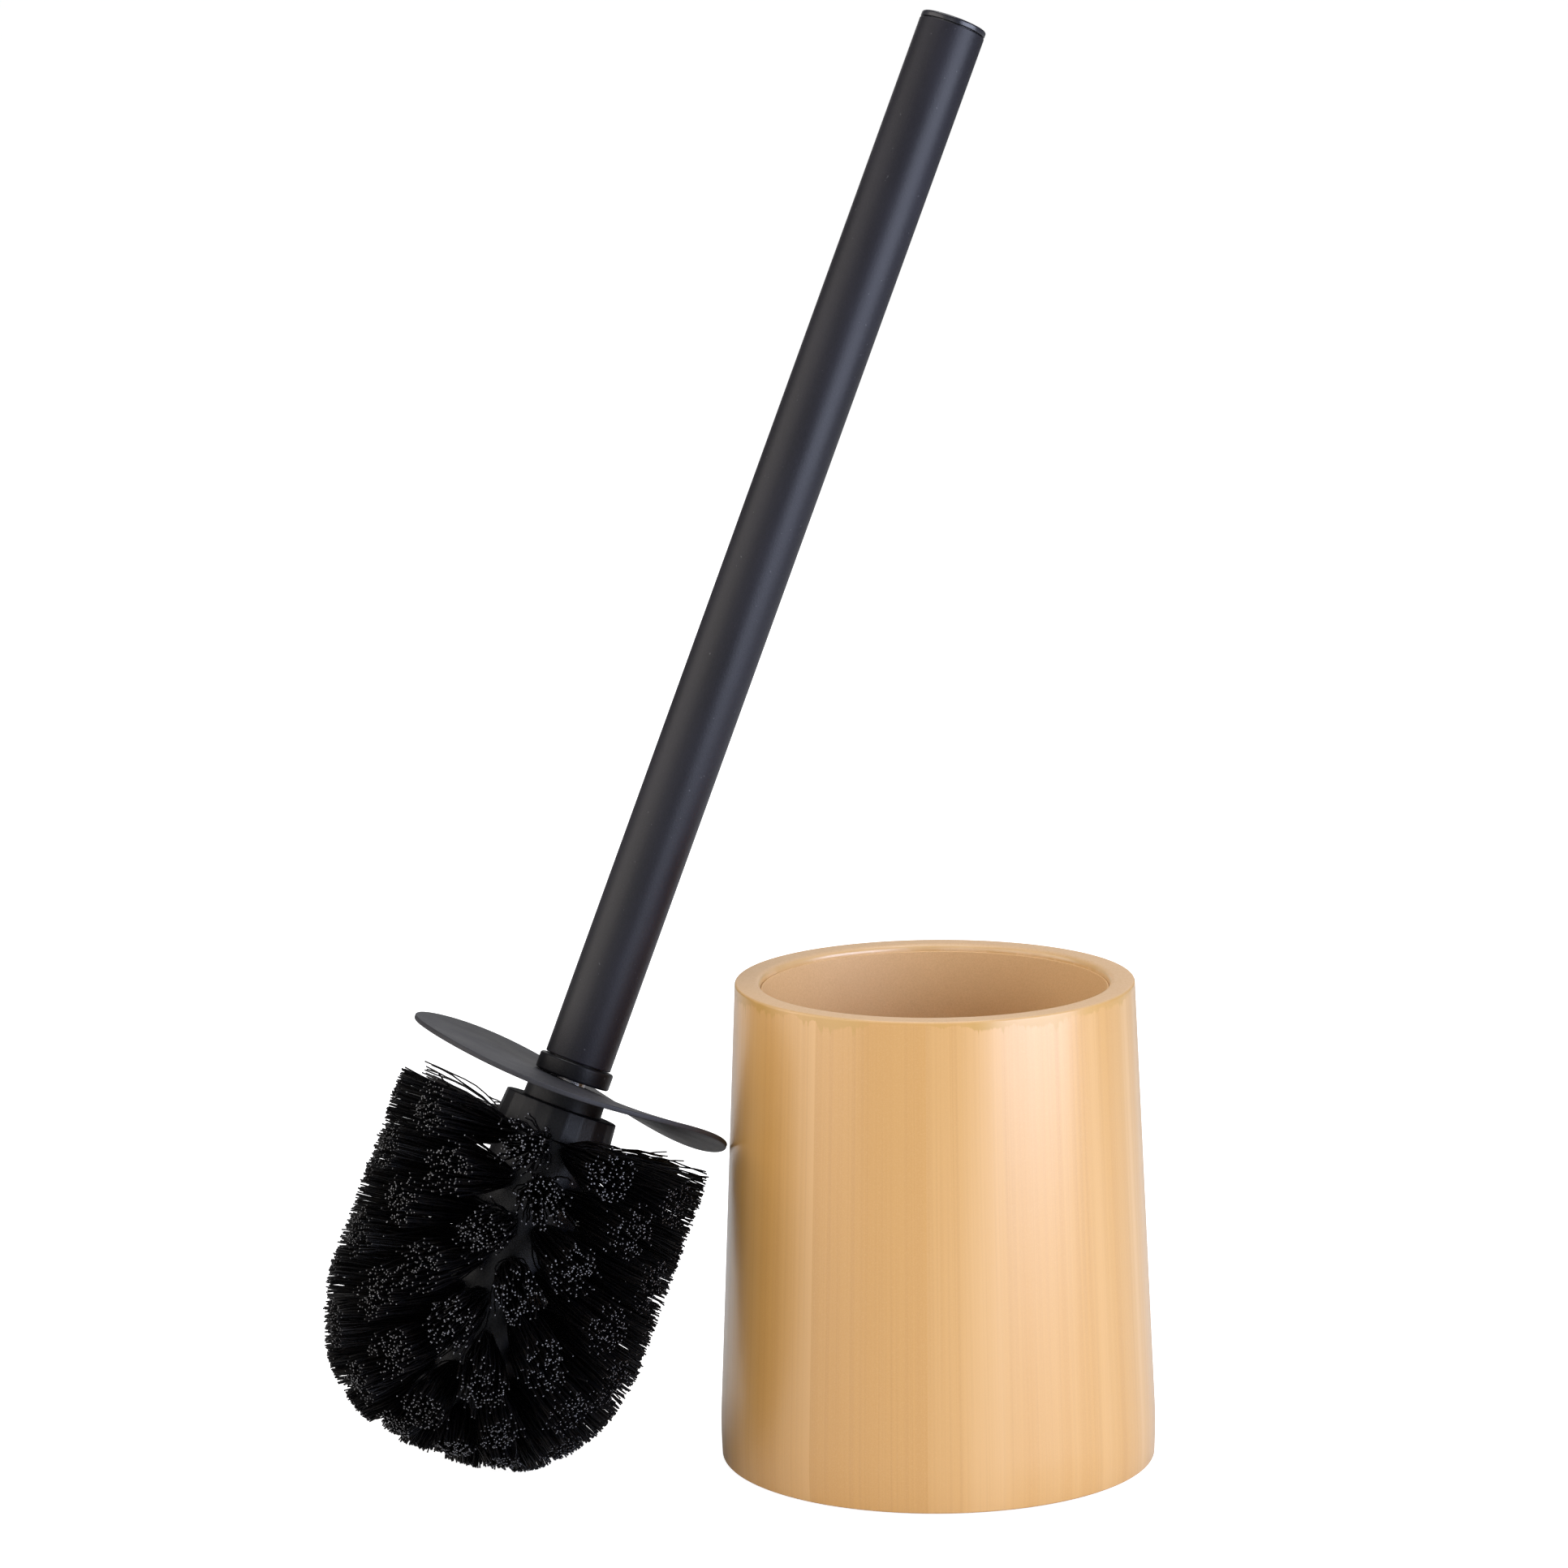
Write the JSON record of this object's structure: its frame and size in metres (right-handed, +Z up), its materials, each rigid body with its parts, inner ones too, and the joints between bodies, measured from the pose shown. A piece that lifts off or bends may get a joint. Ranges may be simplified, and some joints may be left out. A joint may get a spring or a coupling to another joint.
{
  "type": "toilet brush with holder",
  "caption": "Toilet brush leaning beside its tapered bamboo holder, with lift-out cup, round handle, loose splash guard and screw-on tufted head.",
  "frame": {"origin": "centre of the holder's underside, at floor level", "axes": "+Z up along the holder's axis; +X from the brush towards the holder; -Y towards the front, where the handle leans away"},
  "size_m": [0.2196, 0.1198, 0.3795],
  "materials": {
    "bamboo": "satin clear lacquer over straight vertical bamboo grain",
    "pad": "matte dark foam rubber",
    "cup": "matte tan, finely speckled",
    "handle": "satin black coating",
    "handle_fitting": "moulded black plastic",
    "stud": "plain steel",
    "guard": "thin flexible dark grey plastic, matte",
    "core": "moulded dark bluish grey plastic",
    "bristles": "black filaments with pale cut ends"
  },
  "bodies": {
    "holder": {"bamboo_shell": "bamboo", "base_disc": "bamboo", "anti_slip_pad": "pad"},
    "cup": {"inner_cup": "cup"},
    "brush_handle": {"handle_tube": "handle", "handle_end_cap": "handle_fitting", "handle_collar": "handle_fitting", "threaded_stud": "stud"},
    "guard": {"splash_guard": "guard"},
    "brush_head": {"head_core": "core", "bristle_row_1": "bristles", "bristle_row_2": "bristles", "bristle_row_3": "bristles", "bristle_row_4": "bristles", "bristle_row_5": "bristles", "bristle_row_6": "bristles", "bristle_row_7": "bristles", "bristle_row_8": "bristles", "bristle_end": "bristles"}
  },
  "joints": [
    {"name": "cup_lift", "type": "slide", "parent": "holder", "child": "cup", "axis": [0, 0, 1], "range_m": [0, 0.07]},
    {"name": "brush_lift", "type": "slide", "parent": "holder", "child": "brush_handle", "axis": [0, 0, 1], "range_m": [0, 0.3]},
    {"name": "guard_spin", "type": "hinge", "parent": "brush_handle", "child": "guard", "pos_m": [-0.09656, 0.00129, 0.10121], "axis": [0.4124, 0.1889, 0.8912], "continuous": true},
    {"name": "head_unscrew", "type": "hinge", "parent": "brush_handle", "child": "brush_head", "pos_m": [-0.09695, 0.0011, 0.1002], "axis": [0.3521, 0.1738, 0.9197], "continuous": true}
  ]
}
